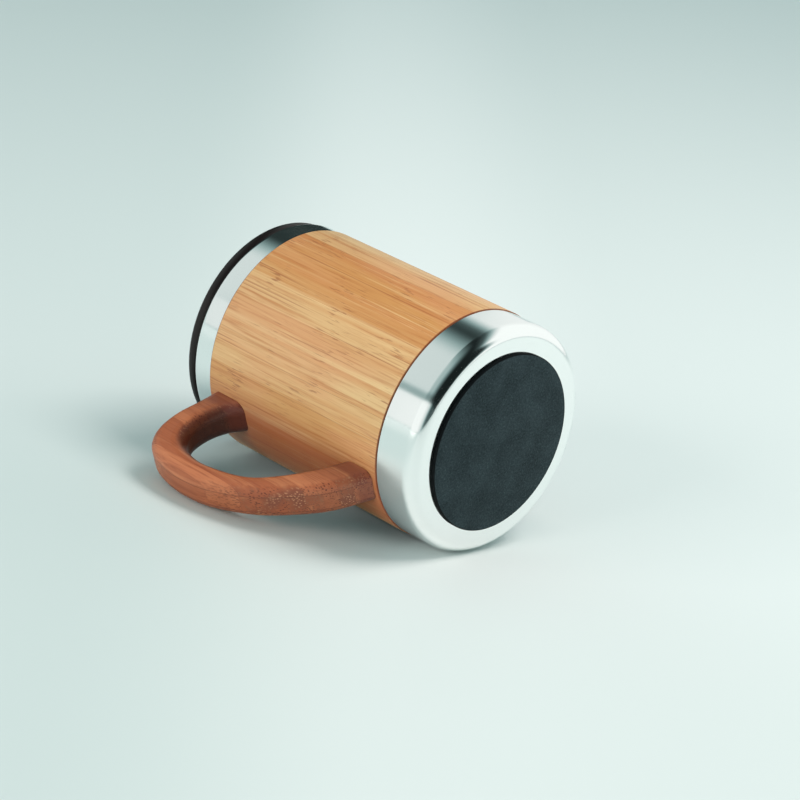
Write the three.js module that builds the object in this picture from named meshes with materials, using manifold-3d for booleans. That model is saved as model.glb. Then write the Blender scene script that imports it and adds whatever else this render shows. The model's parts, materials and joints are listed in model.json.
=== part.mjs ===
// A double-walled steel mug in a bamboo sleeve, with a loop handle and a lid whose slide covers a slot.
// It stands upright on its base pad. +Z is the mug's axis, the origin is the middle of the pad's flat
// underside, and the handle reaches towards -X.
import * as THREE from "three";
import { mergeVertices } from "three/addons/utils/BufferGeometryUtils.js";
import Module from "manifold-3d";

const wasm = await Module();
wasm.setup();

// Clearances, in millimetres like every size here
const fit_gap = 0.3;
const seat_gap = 0.2;
const glue_gap = 0.1;

// Bamboo sleeve
const sleeve_radius = 42.5;
const sleeve_wall = 4;
const sleeve_height = 84;
const sleeve_chamfer = 0.3;

// Base cap of pressed steel, with the pad glued under it
const steel_inset = 0.3;
const cap_height = 16.7;
const cap_corner = 4.7;
const cap_sheet = 0.8;
const spigot_height = 7;
const pad_margin = 4.9;
const pad_thickness = 1.2;
const pad_chamfer = 0.3;

// Vacuum shell and inner cup
const shell_sheet = 0.6;
const shell_corner = 6;
const cup_sheet = 0.6;
const cup_corner = 8;
const vacuum_gap = 2;
const floor_gap = 3;
const band_height = 9.2;
const mouth_depth = 11;
const shoulder_height = 5;

// Handle, whose outline follows shares of its reach and height; its bend stands a little over the
// sleeve's upper end
const handle_reach = 38;
const handle_rise = 1.6;
const handle_overtop = 0.8;
const handle_width = 13.5;
const handle_rounding = 2.2;
const handle_root_share = 0.12;
const handle_outer_shares = [
  [0, 0],
  [0.34, 0.096],
  [0.58, 0.208],
  [0.8, 0.351],
  [0.96, 0.538],
  [1, 0.689],
  [0.97, 0.819],
  [0.88, 0.924],
  [0.7, 0.985],
  [0.45, 1],
  [0.2, 0.98],
  [0, 0.966],
];
const handle_inner_shares = [
  [0, 0.775],
  [0.12, 0.826],
  [0.3, 0.862],
  [0.5, 0.864],
  [0.66, 0.815],
  [0.733, 0.713],
  [0.728, 0.605],
  [0.65, 0.453],
  [0.5, 0.352],
  [0.26, 0.252],
  [0, 0.172],
];

// Wood screws that hold the handle from inside the sleeve
const screw_radius = 1.75;
const screw_bite = 10;
const screw_tip = 2;
const screw_head_radius = 3.6;
const screw_head_height = 1.7;
const screw_recess_width = 0.9;
const screw_recess_depth = 0.9;
const screw_drill_gap = 0.15;
const screw_head_sink = 0.1;
const upper_screw_share = 0.92;
const lower_screw_share = 0.136;

// Lid
const lid_inset = 0.9;
const flange_height = 4;
const flange_rounding = 1.7;
const rim_width = 5.4;
const rim_slope = 0.6;
const recess_depth = 3.9;
const lid_floor = 2;
const plug_gap = 0.7;
const plug_wall = 2;
const plug_height = 9.7;
const groove_depth = 1;
const groove_height = 3.4;
const groove_drop = 3.4;
const seal_reach_gap = 0.12;
const seal_valley = 0.4;
const vent_radius = 1.2;
const vent_inset = 8.9;

// Drinking slot and the slide that covers it
const slot_length = 7;
const slot_width = 15;
const slide_travel = 13;
const slider_wall_gap = 1.3;
const slider_overlap = 2.6;
const slider_length = 28;
const slider_thickness = 1.6;
const slider_corner = 3.5;
const seal_pad_margin = 1.4;
const seal_pad_thickness = 0.8;
const stem_length = 5;
const stem_width = 3;
const stem_place = 5;
const grip_length = 2.2;
const grip_width = 14;
const grip_height = 1.6;
const grip_count = 2;
const grip_pitch = 4.4;
const rail_width = 1.2;
const rail_height = 1.5;
const clip_length = 13;
const clip_width = 10;
const clip_thickness = 1.2;

// Steps of the round surfaces
const around = 60;
const around_small = 16;
const arc_steps = 5;
const roll_steps = 8;
const handle_outer_steps = 34;
const handle_inner_steps = 28;
const bevel_steps = 3;
const cope_share = 2;

// Overrun of cutting tools past the face they cut
const overrun = 1;

// Radii, from the sleeve inwards
const steel_radius = sleeve_radius - steel_inset;
const sleeve_bore = sleeve_radius - sleeve_wall;
const spigot_radius = sleeve_bore - fit_gap;
const shell_radius = spigot_radius - cap_sheet - fit_gap;
const shell_inside = shell_radius - shell_sheet;
const cup_radius = shell_inside - vacuum_gap;
const cup_inside = cup_radius - cup_sheet;
const mouth_outside = sleeve_bore - fit_gap;
const mouth_radius = mouth_outside - cup_sheet;
const lip_radius = (steel_radius - mouth_radius) / 2;
const lip_centre_radius = (steel_radius + mouth_radius) / 2;
const pad_radius = steel_radius - cap_corner - pad_margin;

// Heights, from the pad upwards
const cap_bottom = pad_thickness + glue_gap;
const cap_top = cap_bottom + cap_height;
const sleeve_bottom = cap_top + seat_gap;
const sleeve_top = sleeve_bottom + sleeve_height;
const shell_bottom = cap_bottom + cap_sheet + seat_gap;
const cup_bottom = shell_bottom + shell_sheet + floor_gap;
const band_bottom = sleeve_top + seat_gap;
const lip_top = band_bottom + band_height;
const lip_centre_height = lip_top - lip_radius;
const shoulder_top = lip_top - mouth_depth;
const shoulder_bottom = shoulder_top - shoulder_height;
const shoulder_slope = shoulder_height / (mouth_outside - cup_radius);
const shell_top = shoulder_bottom + (shell_inside - cup_radius) * shoulder_slope - fit_gap;

// Lid places
const flange_radius = steel_radius - lid_inset;
const flange_bottom = lip_top + seat_gap;
const flange_top = flange_bottom + flange_height;
const rim_inside = flange_radius - rim_width;
const floor_top = flange_top - recess_depth;
const floor_bottom = floor_top - lid_floor;
const plug_radius = mouth_radius - plug_gap;
const plug_inside = plug_radius - plug_wall;
const plug_bottom = flange_bottom - plug_height;
const groove_radius = plug_radius - groove_depth;
const groove_top = flange_bottom - groove_drop;
const groove_bottom = groove_top - groove_height;

// Slide places, with the slide closed
const slider_width = slot_width + 2 * slider_overlap;
const slider_front = Math.sqrt((rim_inside - slider_wall_gap) ** 2 - (slider_width / 2) ** 2);
const slider_middle = slider_front - slider_length / 2;
const slot_place = slider_front - slider_overlap - slot_length / 2;
const vent_place = rim_inside - vent_inset;
const slider_bottom = floor_top + seat_gap;
const slider_top = slider_bottom + slider_thickness;
const seal_pad_length = slot_length + 2 * seal_pad_margin;
const seal_pad_width = slot_width + 2 * seal_pad_margin;
const stem_middle = slider_middle - stem_place;
const clip_top = floor_bottom - seat_gap;
const clip_bottom = clip_top - clip_thickness;
const guide_length = slide_travel + stem_length + 2 * fit_gap;
const guide_middle = stem_middle - slide_travel / 2;

// Handle places
const handle_bottom = sleeve_bottom + handle_rise;
const handle_height = sleeve_height - handle_rise + handle_overtop;
const cope_radius = sleeve_radius + seat_gap;
const upper_screw_height = handle_bottom + upper_screw_share * handle_height;
const lower_screw_height = handle_bottom + lower_screw_share * handle_height;
const screw_head_inside = sleeve_bore - screw_head_sink;
const screw_head_floor = screw_head_inside + screw_head_height + seat_gap;
const screw_end = sleeve_radius + screw_bite;

// Points of an arc about a centre, in the plane of radius and height, from one angle to another
function arc(centre_radius, centre_height, radius, from_degrees, to_degrees, steps) {
  const points = [];
  for (let step = 0; step <= steps; step++) {
    const angle = THREE.MathUtils.degToRad(from_degrees + (to_degrees - from_degrees) * step / steps);
    const r = centre_radius + radius * Math.cos(angle);
    points.push([r, centre_height + radius * Math.sin(angle)]);
  }
  return points;
}

// A turned body about +Z from a closed outline of radius and height, run anticlockwise
function turned(outline, closes_on_itself) {
  const points = outline.map(([radius, height]) => new THREE.Vector2(Math.max(radius, 0), height));
  if (closes_on_itself) {
    points.push(points[0].clone());
  }
  const geometry = new THREE.LatheGeometry(points, around);
  geometry.rotateX(Math.PI / 2);
  return geometry;
}

// A closed solid from a geometry, ready to be joined or cut
function solid(geometry) {
  const bare = geometry.clone();
  bare.deleteAttribute("normal");
  bare.deleteAttribute("uv");
  const merged = mergeVertices(bare);
  const corners = merged.index.array;
  const kept = [];
  for (let first = 0; first < corners.length; first += 3) {
    const [a, b, c] = corners.subarray(first, first + 3);
    if (a !== b && b !== c && c !== a) {
      kept.push(a, b, c);
    }
  }
  const mesh = new wasm.Mesh({
    numProp: 3,
    vertProperties: new Float32Array(merged.attributes.position.array),
    triVerts: new Uint32Array(kept),
  });
  return new wasm.Manifold(mesh);
}

// The geometry of a joined or cut solid
function surface(body) {
  const mesh = body.getMesh();
  const geometry = new THREE.BufferGeometry();
  const places = new Float32Array((mesh.vertProperties.length / mesh.numProp) * 3);
  for (let corner = 0; corner * mesh.numProp < mesh.vertProperties.length; corner++) {
    for (let axis = 0; axis < 3; axis++) {
      places[corner * 3 + axis] = mesh.vertProperties[corner * mesh.numProp + axis];
    }
  }
  geometry.setAttribute("position", new THREE.BufferAttribute(places, 3));
  geometry.setIndex(new THREE.BufferAttribute(new Uint32Array(mesh.triVerts), 1));
  geometry.computeVertexNormals();
  return geometry;
}

// A block between two heights, centred at a place along X
function block(length, width, bottom, top, middle) {
  const geometry = new THREE.BoxGeometry(length, width, top - bottom);
  geometry.translate(middle, 0, (top + bottom) / 2);
  return geometry;
}

// A round bar about +Z between two heights
function upright_bar(radius, bottom, top, steps) {
  const geometry = new THREE.CylinderGeometry(radius, radius, top - bottom, steps);
  geometry.rotateX(Math.PI / 2);
  geometry.translate(0, 0, (top + bottom) / 2);
  return geometry;
}

// A round bar along -X at a height, from one distance to another from the mug's axis
function level_bar(radius, near, far, height) {
  const geometry = new THREE.CylinderGeometry(radius, radius, far - near, around_small);
  geometry.rotateZ(Math.PI / 2);
  geometry.translate(-(near + far) / 2, 0, height);
  return geometry;
}

// A plate with round corners between two heights, centred at a place along X
function plate(length, width, corner, bottom, top, middle) {
  const x = length / 2 - corner;
  const y = width / 2 - corner;
  const outline = new THREE.Shape();
  outline.absarc(x, y, corner, 0, Math.PI / 2);
  outline.absarc(-x, y, corner, Math.PI / 2, Math.PI);
  outline.absarc(-x, -y, corner, Math.PI, Math.PI * 3 / 2);
  outline.absarc(x, -y, corner, Math.PI * 3 / 2, Math.PI * 2);
  const settings = { depth: top - bottom, bevelEnabled: false, curveSegments: arc_steps };
  const geometry = new THREE.ExtrudeGeometry(outline, settings);
  geometry.translate(middle, 0, bottom);
  return geometry;
}

// Foam pad: a flat disc with a small edge chamfer
function base_pad() {
  return turned([
    [0, 0],
    [pad_radius - pad_chamfer, 0],
    [pad_radius, pad_chamfer],
    [pad_radius, pad_thickness],
    [0, pad_thickness],
  ]);
}

// Base cap: a dish with a round corner, stepped in at the top to a spigot that enters the sleeve
function base_cap() {
  const flat = steel_radius - cap_corner;
  const corner_height = cap_bottom + cap_corner;
  const spigot_top = cap_top + spigot_height;
  return turned([
    [0, cap_bottom],
    ...arc(flat, corner_height, cap_corner, -90, 0, arc_steps + 2),
    [steel_radius, cap_top],
    [spigot_radius, cap_top],
    [spigot_radius, spigot_top],
    [spigot_radius - cap_sheet, spigot_top],
    [spigot_radius - cap_sheet, cap_top - cap_sheet],
    [steel_radius - cap_sheet, cap_top - cap_sheet],
    ...arc(flat, corner_height, cap_corner - cap_sheet, 0, -90, arc_steps),
    [0, cap_bottom + cap_sheet],
  ]);
}

// Vacuum shell: a plain thin tumbler that ends under the inner cup's shoulder
function vacuum_shell() {
  const corner_height = shell_bottom + shell_corner;
  const corner_radius = shell_radius - shell_corner;
  return turned([
    [0, shell_bottom],
    ...arc(corner_radius, corner_height, shell_corner, -90, 0, arc_steps),
    [shell_radius, shell_top],
    [shell_inside, shell_top],
    ...arc(corner_radius, corner_height, shell_corner - shell_sheet, 0, -90, arc_steps),
    [0, shell_bottom + shell_sheet],
  ]);
}

// Inner cup: a vessel with a shoulder, a straight mouth and a rolled lip turned down into a band
function inner_cup() {
  const corner_height = cup_bottom + cup_corner;
  const corner_radius = cup_radius - cup_corner;
  return turned([
    [0, cup_bottom],
    ...arc(corner_radius, corner_height, cup_corner, -90, 0, arc_steps),
    [cup_radius, shoulder_bottom],
    [mouth_outside, shoulder_top],
    ...arc(lip_centre_radius, lip_centre_height, lip_radius - cup_sheet, 180, 0, roll_steps - 2),
    [steel_radius - cup_sheet, band_bottom],
    [steel_radius, band_bottom],
    ...arc(lip_centre_radius, lip_centre_height, lip_radius, 0, 180, roll_steps),
    [mouth_radius, shoulder_top],
    [cup_inside, shoulder_bottom],
    ...arc(corner_radius, corner_height, cup_corner - cup_sheet, 0, -90, arc_steps),
    [0, cup_bottom + cup_sheet],
  ]);
}

// Bamboo sleeve: a tube with chamfered ends, drilled and counterbored inside for the two handle screws
function bamboo_sleeve() {
  const chamfered_radius = sleeve_radius - sleeve_chamfer;
  const tube = turned([
    [sleeve_bore, sleeve_bottom],
    [chamfered_radius, sleeve_bottom],
    [sleeve_radius, sleeve_bottom + sleeve_chamfer],
    [sleeve_radius, sleeve_top - sleeve_chamfer],
    [chamfered_radius, sleeve_top],
    [sleeve_bore, sleeve_top],
  ], true);
  let body = solid(tube);
  for (const height of [upper_screw_height, lower_screw_height]) {
    const hole = level_bar(screw_radius + fit_gap, sleeve_bore - overrun, sleeve_radius + overrun, height);
    const seat = level_bar(screw_head_radius + fit_gap, sleeve_bore - overrun, screw_head_floor, height);
    body = body.subtract(solid(hole)).subtract(solid(seat));
  }
  return surface(body);
}

// One side of the handle's outline as a smooth curve through its shares
function handle_curve(shares, steps) {
  const places = shares.map(([out, up]) => {
    const radius = sleeve_radius + out * handle_reach;
    return new THREE.Vector2(radius, handle_bottom + up * handle_height);
  });
  return new THREE.SplineCurve(places).getSpacedPoints(steps);
}

// Handle: a rounded loop coped to the sleeve, with a pilot hole for a screw in the root of each arm
function handle() {
  const root_radius = sleeve_radius - handle_root_share * handle_reach;
  const outer = handle_curve(handle_outer_shares, handle_outer_steps);
  const inner = handle_curve(handle_inner_shares, handle_inner_steps);
  const lower_root = [inner.at(-1), outer[0]];
  const upper_root = [outer.at(-1), inner[0]];
  const root = (place) => new THREE.Vector2(root_radius, place.y);
  const outline = new THREE.Shape([
    ...outer,
    ...upper_root.map(root),
    ...inner,
    ...lower_root.map(root),
  ]);
  const settings = {
    depth: handle_width - 2 * handle_rounding,
    bevelThickness: handle_rounding,
    bevelSize: handle_rounding,
    bevelOffset: -handle_rounding,
    bevelSegments: bevel_steps,
  };
  const loop = new THREE.ExtrudeGeometry(outline, settings);
  loop.translate(0, 0, -settings.depth / 2);
  loop.rotateX(Math.PI / 2);
  loop.rotateZ(Math.PI);
  const cope_bottom = handle_bottom - overrun;
  const cope_top = handle_bottom + handle_height + overrun;
  const cope = upright_bar(cope_radius, cope_bottom, cope_top, around * cope_share);
  let body = solid(loop).subtract(solid(cope));
  for (const height of [upper_screw_height, lower_screw_height]) {
    const pilot = level_bar(screw_radius + screw_drill_gap, sleeve_radius, screw_end + fit_gap, height);
    body = body.subtract(solid(pilot));
  }
  return surface(body);
}

// Handle screw: a flat head with a cross recess, a plain shank and a blunt point
function handle_screw(height) {
  const head_outside = screw_head_inside + screw_head_height;
  const point_start = screw_end - screw_tip;
  const outline = [
    [0, screw_head_inside],
    [screw_head_radius, screw_head_inside],
    [screw_head_radius, head_outside],
    [screw_radius, head_outside],
    [screw_radius, point_start],
    [screw_radius / 2, screw_end],
    [0, screw_end],
  ];
  const points = outline.map(([radius, along]) => new THREE.Vector2(radius, along));
  const turned_screw = new THREE.LatheGeometry(points, around_small);
  const recess_bottom = screw_head_inside - overrun;
  const recess_top = screw_head_inside + screw_recess_depth;
  const recess_depth_along = recess_top - recess_bottom;
  let body = solid(turned_screw);
  for (const quarter of [0, 1]) {
    const arm = new THREE.BoxGeometry(screw_head_radius, recess_depth_along, screw_recess_width);
    arm.translate(0, (recess_top + recess_bottom) / 2, 0);
    arm.rotateY(quarter * Math.PI / 2);
    body = body.subtract(solid(arm));
  }
  const geometry = surface(body);
  geometry.rotateZ(Math.PI / 2);
  geometry.translate(0, 0, height);
  return geometry;
}

// Lid: a rounded flange over the lip, a sunk floor and a hollow plug with a groove for the seal,
// cut for the drinking slot, the slide's stem and the vent, with a rail on each side of the slide
function lid_body() {
  const edge_radius = flange_radius - flange_rounding;
  const turned_lid = turned([
    [0, floor_bottom],
    [plug_inside, floor_bottom],
    [plug_inside, plug_bottom],
    [plug_radius, plug_bottom],
    [plug_radius, groove_bottom],
    [groove_radius, groove_bottom],
    [groove_radius, groove_top],
    [plug_radius, groove_top],
    [plug_radius, flange_bottom],
    ...arc(edge_radius, flange_bottom + flange_rounding, flange_rounding, -90, 0, arc_steps - 1),
    ...arc(edge_radius, flange_top - flange_rounding, flange_rounding, 0, 90, arc_steps),
    [rim_inside + rim_slope, flange_top],
    [rim_inside, floor_top],
    [0, floor_top],
  ]);
  const tool_bottom = floor_bottom - overrun;
  const tool_top = floor_top + overrun;
  const slot = plate(slot_length, slot_width, slot_length / 2 - glue_gap, tool_bottom, tool_top, slot_place);
  const guide_width = stem_width + 2 * fit_gap;
  const guide = block(guide_length, guide_width, tool_bottom, tool_top, guide_middle);
  const vent = upright_bar(vent_radius, tool_bottom, tool_top, around_small);
  vent.translate(-vent_place, 0, 0);
  let body = solid(turned_lid).subtract(solid(slot)).subtract(solid(guide)).subtract(solid(vent));
  const rail_length = slider_length + slide_travel;
  const rail_middle = slider_middle - slide_travel / 2;
  for (const side of [-1, 1]) {
    const rail = block(rail_length, rail_width, floor_top - seat_gap, floor_top + rail_height, rail_middle);
    rail.translate(0, side * (slider_width / 2 + fit_gap + rail_width / 2), 0);
    body = body.add(solid(rail));
  }
  return surface(body);
}

// Seal: a ring in the plug's groove with two soft lips towards the mouth
function lid_seal() {
  const inside = groove_radius + glue_gap;
  const outside = mouth_radius - seal_reach_gap;
  const valley = outside - seal_valley;
  const bottom = groove_bottom + glue_gap;
  const top = groove_top - glue_gap;
  const lip_pitch = (top - bottom) / 4;
  return turned([
    [inside, bottom],
    [valley, bottom],
    [outside, bottom + lip_pitch],
    [valley, bottom + 2 * lip_pitch],
    [outside, top - lip_pitch],
    [valley, top],
    [inside, top],
  ], true);
}

// Slider: a plate with round corners, thumb ridges, a pocket for its seal and a stem through the lid
function lid_slider() {
  const pocket_top = slider_bottom + seal_pad_thickness + glue_gap;
  const pocket_length = seal_pad_length + 2 * glue_gap;
  const pocket_width = seal_pad_width + 2 * glue_gap;
  const pocket = block(pocket_length, pocket_width, slider_bottom - overrun, pocket_top, slot_place);
  const stem = block(stem_length, stem_width, clip_bottom, slider_bottom + glue_gap, stem_middle);
  let body = solid(plate(slider_length, slider_width, slider_corner, slider_bottom, slider_top, slider_middle));
  body = body.subtract(solid(pocket)).add(solid(stem));
  for (let ridge = 0; ridge < grip_count; ridge++) {
    const middle = stem_middle - (ridge - (grip_count - 1) / 2) * grip_pitch;
    const grip = block(grip_length, grip_width, slider_top - glue_gap, slider_top + grip_height, middle);
    body = body.add(solid(grip));
  }
  return surface(body);
}

// Slider seal: a flat pad in the slider's pocket, resting on the lid's floor over the slot
function slider_seal() {
  const bottom = floor_top + glue_gap;
  return block(seal_pad_length, seal_pad_width, bottom, slider_bottom + seal_pad_thickness, slot_place);
}

// Slider clip: a plate under the lid's floor, pushed onto the slider's stem
function slider_clip() {
  const hole_length = stem_length + 2 * glue_gap;
  const hole_width = stem_width + 2 * glue_gap;
  const clip = plate(clip_length, clip_width, slider_corner / 2, clip_bottom, clip_top, stem_middle);
  const hole = block(hole_length, hole_width, clip_bottom - overrun, clip_top + overrun, stem_middle);
  return surface(solid(clip).subtract(solid(hole)));
}

// Materials: colour, roughness and metalness of each finish
const foam = { color: 0x3a484b, roughness: 0.95, metalness: 0 };
const satin_steel = { color: 0xccd1d0, roughness: 0.3, metalness: 1 };
const inner_steel = { color: 0xc4c8c8, roughness: 0.4, metalness: 1 };
const light_bamboo = { color: 0xd1945b, roughness: 0.5, metalness: 0 };
const dark_bamboo = { color: 0xa0603f, roughness: 0.5, metalness: 0 };
const zinc_steel = { color: 0xb5b3a8, roughness: 0.4, metalness: 1 };
const dark_plastic = { color: 0x262120, roughness: 0.35, metalness: 0 };
const silicone = { color: 0x3b3a3a, roughness: 0.7, metalness: 0 };

// The mug, its lid and the slide in the lid
const mug = new THREE.Group();
const lid = new THREE.Group();
const slide = new THREE.Group();

function place(group, name, geometry, finish) {
  const mesh = new THREE.Mesh(geometry, new THREE.MeshStandardMaterial(finish));
  mesh.name = name;
  group.add(mesh);
}

place(mug, "base_pad", base_pad(), foam);
place(mug, "base_cap", base_cap(), satin_steel);
place(mug, "vacuum_shell", vacuum_shell(), inner_steel);
place(mug, "inner_cup", inner_cup(), satin_steel);
place(mug, "bamboo_sleeve", bamboo_sleeve(), light_bamboo);
place(mug, "handle", handle(), dark_bamboo);
place(mug, "upper_handle_screw", handle_screw(upper_screw_height), zinc_steel);
place(mug, "lower_handle_screw", handle_screw(lower_screw_height), zinc_steel);
place(lid, "lid_body", lid_body(), dark_plastic);
place(lid, "lid_seal", lid_seal(), silicone);
place(slide, "lid_slider", lid_slider(), dark_plastic);
place(slide, "slider_seal", slider_seal(), silicone);
place(slide, "slider_clip", slider_clip(), dark_plastic);
lid.add(slide);
mug.add(lid);

export default mug;
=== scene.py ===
import json
import math

import bmesh
import bpy
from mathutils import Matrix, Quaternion, Vector


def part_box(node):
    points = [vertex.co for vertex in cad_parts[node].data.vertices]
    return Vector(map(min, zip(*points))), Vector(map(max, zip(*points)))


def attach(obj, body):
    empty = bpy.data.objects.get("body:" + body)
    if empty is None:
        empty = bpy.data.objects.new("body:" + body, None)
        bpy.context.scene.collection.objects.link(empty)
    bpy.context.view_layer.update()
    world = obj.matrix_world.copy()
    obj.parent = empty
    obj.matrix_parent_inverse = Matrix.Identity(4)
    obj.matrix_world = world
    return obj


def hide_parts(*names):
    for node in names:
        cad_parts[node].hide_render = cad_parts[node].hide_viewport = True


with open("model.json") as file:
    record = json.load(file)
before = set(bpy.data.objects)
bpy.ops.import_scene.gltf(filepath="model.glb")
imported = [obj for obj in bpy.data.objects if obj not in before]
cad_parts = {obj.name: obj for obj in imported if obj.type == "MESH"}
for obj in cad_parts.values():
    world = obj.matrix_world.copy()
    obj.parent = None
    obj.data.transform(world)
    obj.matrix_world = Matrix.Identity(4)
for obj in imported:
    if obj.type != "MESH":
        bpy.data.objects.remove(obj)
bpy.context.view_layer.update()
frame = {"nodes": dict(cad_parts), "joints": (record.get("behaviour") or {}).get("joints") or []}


# Base pad. A disc punched from a sheet of dark foam rubber and glued under the base, so that the mug
# doesn't slip. It is matt, with fine cells that show as pale specks, and its lower edge is slightly
# rounded, as if worn. Its side wall and lower edge are painted near-black, as shade.
mm = 0.001
pad_edge = 0.35 * mm
pad_facets = 192
foam_wall_from = 0.45 * mm
foam_wall_to = 0.2 * mm
foam_relief = 0.25 * mm


def begin(add, name, **settings):
    """Adds a primitive with nothing else selected, and opens it for editing."""
    bpy.ops.object.select_all(action="DESELECT")
    add(**settings)
    piece = bpy.context.object
    piece.name = name
    piece.data.name = name
    bpy.ops.object.mode_set(mode="EDIT")
    return piece


def choose(piece, kind, test):
    """Selects the vertices, edges or faces of an open piece that pass a test, and nothing else."""
    bpy.ops.mesh.select_mode(type=kind)
    bpy.ops.mesh.select_all(action="DESELECT")
    shape = bmesh.from_edit_mesh(piece.data)
    parts = {"VERT": shape.verts, "EDGE": shape.edges, "FACE": shape.faces}[kind]
    for part in parts:
        if test(part):
            part.select_set(True)
    bmesh.update_edit_mesh(piece.data)


def smooth(piece, sharp_from=30):
    """Smooths a piece where it bends by less than an angle in degrees, and leaves only it selected."""
    bpy.ops.object.select_all(action="DESELECT")
    piece.select_set(True)
    bpy.context.view_layer.objects.active = piece
    bpy.ops.object.shade_smooth_by_angle(angle=math.radians(sharp_from))


def end(piece):
    """Closes an edited piece, puts its origin at the model's and smooths it."""
    bpy.ops.object.mode_set(mode="OBJECT")
    bpy.ops.object.transform_apply(location=True, rotation=True, scale=True)
    smooth(piece)


def seen(red, green, blue):
    """A colour from its screen values of 0 to 255, as the linear values that a shader takes."""
    linear = []
    for value in (red, green, blue):
        share = value / 255
        linear.append(share / 12.92 if share <= 0.04045 else ((share + 0.055) / 1.055) ** 2.4)
    return (*linear, 1)


class Signal:
    """A shader socket that adds Math nodes when it is used in an expression."""

    def __init__(self, tree, socket=None):
        self.tree = tree
        self.socket = socket

    def node(self, kind, settings=None, sockets=None, result=0):
        """Adds a node, sets it, then fills its sockets with values or links, and gives one result."""
        made = self.tree.nodes.new(kind)
        for name, value in (settings or {}).items():
            if name == "interpolation":
                made.color_ramp.interpolation = value
            elif name == "stops":
                ramp = made.color_ramp
                while len(ramp.elements) < len(value):
                    ramp.elements.new(0.5)
                for element, (place, colour) in zip(ramp.elements, value):
                    element.position = place
                    element.color = colour
            else:
                setattr(made, name, value)
        for name, value in (sockets or {}).items():
            if isinstance(value, Signal):
                self.tree.links.new(value.socket, made.inputs[name])
            else:
                made.inputs[name].default_value = value
        return Signal(self.tree, made.outputs[result])

    def maths(self, operation, *values):
        sockets = {place: value for place, value in enumerate(values)}
        return self.node("ShaderNodeMath", {"operation": operation}, sockets)

    def __add__(self, other):
        return self.maths("ADD", self, other)

    def __radd__(self, other):
        return self.maths("ADD", other, self)

    def __sub__(self, other):
        return self.maths("SUBTRACT", self, other)

    def __rsub__(self, other):
        return self.maths("SUBTRACT", other, self)

    def __mul__(self, other):
        return self.maths("MULTIPLY", self, other)

    def __rmul__(self, other):
        return self.maths("MULTIPLY", other, self)

    def between(self, low, high):
        """0 below one value, 1 above another, and a soft step from one to the other."""
        settings = {"interpolation_type": "SMOOTHSTEP"}
        return self.node("ShaderNodeMapRange", settings, {0: self, 1: low, 2: high})

    def blend(self, first, second):
        """A colour that goes from the first to the second as this value goes from 0 to 1."""
        return self.node("ShaderNodeMix", {"data_type": "RGBA"}, {0: self, 6: first, 7: second}, 2)

    def stretched(self, scales, shift=(0, 0, 0)):
        """This vector with each axis scaled, then shifted."""
        return self.vector_maths("MULTIPLY_ADD", {0: self, 1: scales, 2: shift})

    def vector_maths(self, operation, sockets, result="Vector"):
        return self.node("ShaderNodeVectorMath", {"operation": operation}, sockets, result)

    def length(self):
        """The length of this vector."""
        return self.vector_maths("LENGTH", {0: self}, "Value")

    def along(self, direction):
        """How far this vector goes in a direction."""
        return self.vector_maths("DOT_PRODUCT", {0: self, 1: direction}, "Value")

    def axes(self, count):
        """The first few numbers of this vector."""
        split = self.node("ShaderNodeSeparateXYZ", None, {0: self}).socket.node
        return [Signal(self.tree, split.outputs[axis]) for axis in range(count)]

    def absolute(self):
        return self.maths("ABSOLUTE", self)

    def floor(self):
        return self.maths("FLOOR", self)

    def noise(self, scale, detail=2.0, roughness=0.5):
        """Noise from 0 to 1 on this vector."""
        sockets = {"Vector": self, "Scale": scale, "Detail": detail, "Roughness": roughness}
        return self.node("ShaderNodeTexNoise", None, sockets)


def new_finish(name, **values):
    """A material with its shader's plain values set. Gives it, its shader and its Object coordinates."""
    material = bpy.data.materials.new(name)
    material.use_nodes = True
    tree = material.node_tree
    shader = tree.nodes["Principled BSDF"]
    for socket, value in values.items():
        shader.inputs[socket.replace("_", " ")].default_value = value
    place = Signal(tree).node("ShaderNodeTexCoord", result="Object")
    return material, shader, place


def feed(shader, socket, signal):
    signal.tree.links.new(signal.socket, shader.inputs[socket])


def raised(height, depth, strength=1.0):
    """A bump from a height signal, at a depth in metres."""
    return height.node("ShaderNodeBump", None, {"Strength": strength, "Distance": depth, "Height": height})


def dress(piece, material, body, node):
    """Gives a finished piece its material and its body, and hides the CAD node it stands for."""
    piece.data.materials.clear()
    piece.data.materials.append(material)
    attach(piece, body)
    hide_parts(node)


pad_low, pad_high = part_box("base_pad")
pad_disc = begin(
    bpy.ops.mesh.primitive_cylinder_add, "foam_pad", vertices=pad_facets, radius=pad_high.x,
    depth=pad_high.z - pad_low.z, location=(0, 0, (pad_high.z + pad_low.z) / 2),
)
choose(pad_disc, "FACE", lambda face: face.normal.z < -0.5)
bpy.ops.mesh.bevel(offset=pad_edge, segments=3, affect="EDGES")
end(pad_disc)

foam, foam_shader, foam_place = new_finish("Foam rubber", Roughness=0.95, Specular_IOR_Level=0.25)
foam_cells = foam_place.noise(1500, 4.0, 0.7)
foam_specks = foam_place.noise(1150, 1.0).between(0.6, 0.7)
foam_clouds = foam_place.noise(85, 3.0)
foam_tone = foam_cells.between(0.38, 0.62) * 0.6 + foam_clouds.between(0.3, 0.7) * 0.4
foam_colour = foam_tone.blend(seen(29, 40, 43), seen(60, 73, 77))
foam_colour = (foam_specks * 0.25).blend(foam_colour, seen(86, 106, 109))
foam_from_axis = foam_place.stretched((1, 1, 0)).length()
# Painted shade: the pad's side wall and lower edge are darkened to near-black.
foam_wall_shade = foam_from_axis.between(pad_high.x - foam_wall_from, pad_high.x - foam_wall_to)
feed(foam_shader, "Base Color", foam_wall_shade.blend(foam_colour, seen(10, 14, 16)))
feed(foam_shader, "Normal", raised(foam_cells, foam_relief, 0.6))
dress(pad_disc, foam, "mug", "base_pad")


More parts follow.
